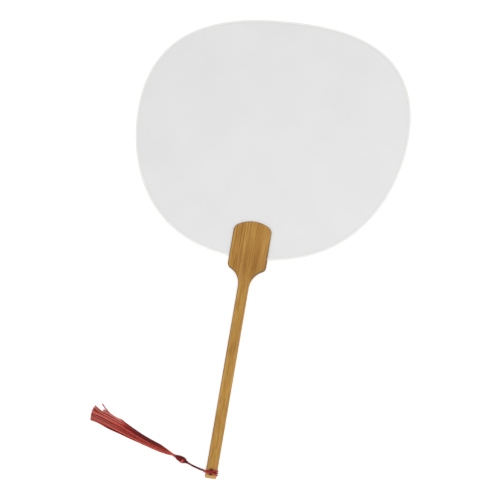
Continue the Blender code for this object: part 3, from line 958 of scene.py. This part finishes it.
def thread_route(route, flat, lengths, across, height, share, flick, rng):
    """A thread's points, their radii and how far along the skirt each lies, as far as its share goes."""
    total = lengths[-1] * share
    phase, waves, own_sway = rng.uniform(0, SWAY_ROUND), rng.uniform(*OWN_WAVES), rng.uniform(*OWN_SWAY)
    points, radii, shares = [], [], []
    for index, (place, far) in enumerate(zip(route, lengths)):
        if index and lengths[index - 1] >= total:
            break
        if far > total:
            place = place.lerp(route[index - 1], (far - total) / (far - lengths[index - 1]))
            far = total
        way = way_at(flat, index)
        side = Vector((way.y, -way.x, 0))
        along = far / lengths[-1]
        lateral = place_across(across, height, along, own_sway * math.sin(phase + waves * SWAY_ROUND * along))
        lateral += flick * max(0.0, (along - share + FLICK_BACK) / FLICK_RUN) ** 1.7
        z = thread_z(height, place.z, lateral, far)
        points.append(Vector((place.x, place.y, z)) + side * lateral * place.z)
        free = min(1.0, along / FREE_RUN)
        radii.append(THREAD_RADIUS * (THREAD_AT_NECK + (1 - THREAD_AT_NECK) * free))
        shares.append(along)
    return points, radii, shares


def hump(value, start, end):
    """1 halfway between start and end, falling smoothly to 0 at both."""
    if not start < value < end:
        return 0.0
    return math.sin(math.pi * (value - start) / (end - start))


def sheen_of(across, chance):
    """The tone of the painted sheen that a thread takes on in its outer half: pale, grey, or 0 for one that
    stays red.
    """
    pale, grey = next(shares for start, *shares in SHEEN_SHARES if across > start)
    return PALE_SHEEN if chance < pale else GREY_SHEEN if chance < grey else 0.0


def skirt_tones(across, base, shares, tint, sheen_start):
    """Painted shade on the upper side for the first half and painted light on the lower side; brighter at the
    neck and at the cut ends; and the painted sheen.
    """
    tones = []
    upper = min(1.0, max(0.0, across / 0.4))
    lower = min(1.0, max(0.0, -across / 0.5))
    for along in shares:
        tone = base - UPPER_SHADE * hump(along, 0.0, UPPER_SHADE_END) * upper
        tone += LOWER_LIGHT * hump(along, *LOWER_LIGHT_SPAN) * lower
        tone += NECK_LIGHT * max(0.0, 1 - along / NECK_LIGHT_RUN)
        tone += END_LIGHT * max(0.0, (along - 1) / END_LIGHT_RUN + 1)
        tone = min(BRIGHTEST_RED, tone)
        if tint and along > sheen_start:
            tone += (tint - tone) * min(1.0, (along - sheen_start) / SHEEN_RUN)
        tones.append(max(0.0, tone))
    return tones


def thread_end(across, left, rng):
    """A thread's share of the length and its flick. Counts down the strays and stubs that are left."""
    spread = rng.uniform(*SHARE_SPREAD) * (EVEN_SPREAD if across < EVEN_BELOW else 1.0)
    share = SKIRT_SHARE + SHARE_SLANT * across + spread
    flick = rng.uniform(*USUAL_FLICK)
    if across > SHORT_FROM:
        share, flick = rng.uniform(*SHORT_SHARE), rng.uniform(*SHORT_FLICK)
        if across > STRAYS_FROM and left["strays"]:
            left["strays"] -= 1
            share, flick = rng.uniform(*STRAY_SHARE), rng.uniform(*STRAY_FLICK)
        elif across > STUBS_FROM and left["stubs"]:
            left["stubs"] -= 1
            share, flick = rng.uniform(*STUB_SHARE), rng.uniform(*STUB_FLICK)
    elif across > FLICK_FROM:
        flick = FLICK_GROWTH * (across - FLICK_FROM)
    return share, flick


def make_skirt():
    rng = random.Random(5)
    route = smooth_route(SKIRT_ROUTE, SKIRT_STEP)
    route = [Vector((p.x, p.y + HANDLE_END, p.z)) for p in route]
    flat = [Vector((p.x, p.y, 0)) for p in route]
    lengths = running_length(flat)
    tubes = Tubes(SKIRT_SIDES)
    left = {"strays": STRAYS, "stubs": STUBS}
    for index in range(SKIRT_THREADS):
        across = -1 + 2 * ((index * ACROSS_STEP) % 1.0)
        height = ((index * HEIGHT_STEP) % 1.0) ** 0.8
        share, flick = thread_end(across, left, rng)
        points, radii, shares = thread_route(route, flat, lengths, across, height, share, flick, rng)
        bundle = noise.noise(Vector((across * 10.5, height * 0.6, 3.1)))
        base = BASE_TONE + BUNDLE_TONES * bundle + rng.uniform(-OWN_TONES, OWN_TONES)
        base = min(BRIGHTEST_BASE, base) - (STUB_DARKER if share < LONGEST_STUB else 0.0)
        tint = sheen_of(across, rng.random())
        tones = skirt_tones(across, base, shares, tint, rng.uniform(*SHEEN_FROM))
        tubes.add(points, radii, tones)
    skirt = tubes.make("skirt_threads", skirt_thread)
    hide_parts(*[f"tassel_lock_{number}" for number in range(1, 6)])
    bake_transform(skirt)


make_skirt()

# The leaf: two paper skins on a bamboo hoop, bound with a folded strip.


def bezier_quarter(anchors, inset, steps):
    """Points along one cubic curve, moved in by inset, without its last point."""
    a, b, c, d = (Vector(point) for point in anchors)
    points = []
    for step in range(steps):
        t = step / steps
        s = 1 - t
        place = a * s**3 + b * 3 * s * s * t + c * 3 * s * t * t + d * t**3
        along = ((b - a) * s * s + (c - b) * 2 * s * t + (d - c) * t * t).normalized()
        points.append((place.x - along.y * inset, place.y + along.x * inset))
    return points


def leaf_outline(inset, steps=48):
    """The leaf's outline, moved in by inset: anticlockwise from the bottom."""
    bottom, widest = (0, LEAF_BOTTOM_Y), (LEAF_HALF_WIDTH, LEAF_WIDEST_Y)
    top = (0, TOTAL_LENGTH)
    lower = (bottom, (BOTTOM_PULL, LEAF_BOTTOM_Y), (LEAF_HALF_WIDTH, LEAF_WIDEST_Y - FLANK_PULL), widest)
    upper = (widest, (LEAF_HALF_WIDTH, LEAF_WIDEST_Y + SHOULDER_PULL), (TOP_PULL, TOTAL_LENGTH), top)
    right_half = bezier_quarter(lower, inset, steps) + bezier_quarter(upper, inset, steps)
    right_half.append((0, TOTAL_LENGTH - inset))
    return right_half + [(-x, y) for x, y in reversed(right_half) if x > 1e-6]


RINGS = [0.0, 0.0008, 0.0016, 0.0021, 0.0026, 0.0034, 0.0044, 0.006, 0.0085, 0.012]
RING_STEP = 0.006  # how far apart the rings are inside those
LEAF_CENTRE = Vector((0.0, 0.331))
FLAT_RIM = 0.003  # the paper lies flat this far in, and is free beyond the next width
RIM_FADE = 0.012
HEAD_FADE = 0.02
WAVE_HEIGHT = 0.00016
RIPPLE_HEIGHT = 0.00003


def leaf_grid():
    """Rings of points that follow the outline inwards, and how far in from the paper's edge each ring lies."""
    insets = list(RINGS)
    rings = [leaf_outline(SKIN_INSET + inset) for inset in insets]
    innermost = rings[-1]
    reach = min((Vector(p) - LEAF_CENTRE).length for p in innermost)
    count = int(reach / RING_STEP)
    for number in range(1, count):
        share = 1 - number / count
        rings.append([tuple(LEAF_CENTRE + (Vector(p) - LEAF_CENTRE) * share) for p in innermost])
        insets.append(insets[-1] + reach / count)
    return rings, insets


def paper_wave(x, y, inset, seed):
    """The paper's slight undulation, which dies out at the rim and round the handle's head."""
    slow = noise.noise(Vector((x * 16, y * 16, seed)))
    quick = noise.noise(Vector((x * 46, y * 46, seed + 7)))
    rim = min(1.0, max(0.0, (inset - FLAT_RIM) / RIM_FADE))
    from_head = Vector((max(0.0, abs(x) - HEAD_HALF_WIDTH), max(0.0, y - HEAD_TOP_Y)))
    return (slow * WAVE_HEIGHT + quick * RIPPLE_HEIGHT) * rim * min(1.0, from_head.length / HEAD_FADE)


def skin_surface(seed):
    """One surface of the paper: its points, how far each lies from the leaf's edge, its faces and its rim."""
    rings, insets = leaf_grid()
    count = len(rings[0])
    points = [(x, y, paper_wave(x, y, inset, seed)) for ring, inset in zip(rings, insets) for x, y in ring]
    far = [inset + SKIN_INSET for inset in insets for _ in range(count)]
    points.append((*LEAF_CENTRE, paper_wave(*LEAF_CENTRE, insets[-1], seed)))
    far.append(insets[-1])
    faces = []
    for ring in range(len(rings) - 1):
        for index in range(count):
            a, b = ring * count + index, ring * count + (index + 1) % count
            faces.append((a, b, b + count, a + count))
    last = (len(rings) - 1) * count
    for index in range(count):
        faces.append((last + index, last + (index + 1) % count, len(points) - 1))
    return points, far, faces, rings[0]


def make_skin(name, node, side, material, seed):
    """One sheet of paper with both its surfaces and its cut edge, over (1) or under (-1) the hoop."""
    surface, far, faces, rim = skin_surface(seed)
    total, count = len(surface), len(rim)
    points = []
    for height in (SKIN_INNER + SKIN_THICKNESS, SKIN_INNER):
        points += [at(x, y, MIDDLE_Z + side * height + wave) for x, y, wave in surface]
    sheets = []
    for face in faces:
        sheets += [face, tuple(index + total for index in reversed(face))]
    for index in range(count):
        after = (index + 1) % count
        sheets.append((index, index + total, after + total, after))
    if side < 0:
        sheets = [tuple(reversed(face)) for face in sheets]
    mesh = bpy.data.meshes.new(name)
    mesh.from_pydata(points, [], sheets)
    mesh.attributes.new("edge_distance", "FLOAT", "POINT").data.foreach_set("value", far + far)
    mesh.shade_smooth()
    mesh.set_sharp_from_angle(angle=math.radians(40))
    mesh.materials.append(material)
    skin = put(name, mesh)
    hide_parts(node)
    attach(skin, "fan")
    outline = [Vector(p) for p in rim]
    height = max(p.y for p in outline) - min(p.y for p in outline)


STRIP_STEPS = 60
LIP_FROM = 0.0012  # the lips wobble from here in, fully after the run
LIP_RUN = 0.0009
LIP_WOBBLE = 0.00014


def strip_profile():
    """The folded strip's section: insets from the leaf's edge and heights from its middle, round it once."""
    half, width, paper = BINDING_HALF_HEIGHT, BINDING_WIDTH, BINDING_PAPER
    outer = [(width, half - 0.00008), (width - 0.0002, half)]
    outer += [(0.0008, half), (0.00035, half - 0.00005), (0.0001, half - 0.00028), (0.0, 0.0005)]
    outer = outer + [(inset, -z) for inset, z in reversed(outer)]
    inner = [(max(inset, paper), math.copysign(max(0.0, abs(z) - paper), z)) for inset, z in reversed(outer)]
    return outer + inner


def make_binding(material):
    """The folded strip: a rounded channel round the rim whose lips lie just over the skins."""
    profile = strip_profile()
    rings = [leaf_outline(inset, STRIP_STEPS) for inset, _ in profile]
    count, rows = len(rings[0]), len(profile)
    points, faces = [], []
    for ring, (inset, z) in zip(rings, profile):
        lip = max(0.0, (inset - LIP_FROM) / LIP_RUN)
        for x, y in ring:
            ripple = noise.noise(Vector((x * 140, y * 140, 1.0 if z > 0 else 5.0)))
            away = (LEAF_CENTRE - Vector((x, y))).normalized() * LIP_WOBBLE * ripple * lip
            points.append(at(x + away.x, y + away.y, MIDDLE_Z + z))
    for row in range(rows):
        below, above = row * count, ((row + 1) % rows) * count
        for index in range(count):
            after = (index + 1) % count
            faces.append((below + index, above + index, above + after, below + after))
    mesh = bpy.data.meshes.new("rim_strip")
    mesh.from_pydata(points, [], faces)
    work = bmesh.new()
    work.from_mesh(mesh)
    bmesh.ops.recalc_face_normals(work, faces=work.faces)
    work.to_mesh(mesh)
    work.free()
    mesh.shade_smooth()
    mesh.set_sharp_from_angle(angle=math.radians(50))
    mesh.materials.append(material)
    strip = put("rim_strip", mesh)
    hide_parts("rim_binding")
    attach(strip, "fan")


leaf_paper = paper_material("leaf_paper", LEAF_WHITE, LEAF_TINT, strip_shadow=True)
strip_paper = paper_material("strip_paper", STRIP_WHITE, STRIP_TINT)
make_skin("leaf_front_paper", "leaf_front", 1, leaf_paper, 0.0)
make_skin("leaf_back_paper", "leaf_back", -1, leaf_paper, 20.0)
make_binding(strip_paper)


def dress(node, material):
    """Gives a CAD node that is kept its finished material."""
    mesh = NODES[node].data
    mesh.materials.clear()
    mesh.materials.append(material)


handle_bamboo = bamboo_material(
    "handle_bamboo", BAMBOO_LIGHT, BAMBOO_BODY, BAMBOO_DARK, BAMBOO_WALL_AND_SHADE, BAMBOO_END_GRAIN_AND_SHADE
)
hoop_bamboo = bamboo_material(
    "hoop_bamboo", HOOP_LIGHT, HOOP_BODY, HOOP_DARK, HOOP_BODY, HOOP_BODY, HOOP_GRAIN
)
dress("handle", handle_bamboo)
dress("hoop", hoop_bamboo)

# The floor and the lights.

FLOOR_SIZE = 6.0
FLOOR_LIGHT = (0.94, 0.94, 0.94)
FLOOR_DARK = (0.93, 0.93, 0.93)
FLOOR_GLOW = 0.32
WORLD_STRENGTH = 0.79
KEY_POWER = 4.0
KEY_SIZE = 0.7
KEY_PLACE = (0.42, -0.42, 1.1)


def make_floor():
    bpy.ops.mesh.primitive_grid_add(x_subdivisions=4, y_subdivisions=4, size=FLOOR_SIZE)
    floor = bpy.context.object
    floor.name = "floor"
    n = Nodes("floor_paint")
    mottle = n.noise((3, 3, 3), detail=2)
    n.link(n.mix(n.span(mottle, 0.3, 0.7), FLOOR_LIGHT, FLOOR_DARK), n.shader, "Base Color")
    n.shader.inputs["Roughness"].default_value = 0.9
    n.shader.inputs["Specular IOR Level"].default_value = 0.1
    n.shader.inputs["Emission Color"].default_value = (1.0, 1.0, 1.0, 1.0)
    n.shader.inputs["Emission Strength"].default_value = FLOOR_GLOW
    floor.data.materials.append(n.material)


def make_lights():
    world = bpy.data.worlds.new("studio")
    world.use_nodes = True
    sky = world.node_tree.nodes["Background"]
    sky.inputs["Color"].default_value = (1.0, 1.0, 1.0, 1.0)
    sky.inputs["Strength"].default_value = WORLD_STRENGTH
    bpy.context.scene.world = world
    data = bpy.data.lights.new("key", "AREA")
    data.shape = "DISK"
    data.size = KEY_SIZE
    data.energy = KEY_POWER
    key = put("key", data)
    key.location = KEY_PLACE
    key.rotation_mode = "QUATERNION"
    key.rotation_quaternion = Vector(KEY_PLACE).to_track_quat("Z", "Y")


make_floor()
make_lights()
bpy.context.scene.view_settings.view_transform = "Standard"
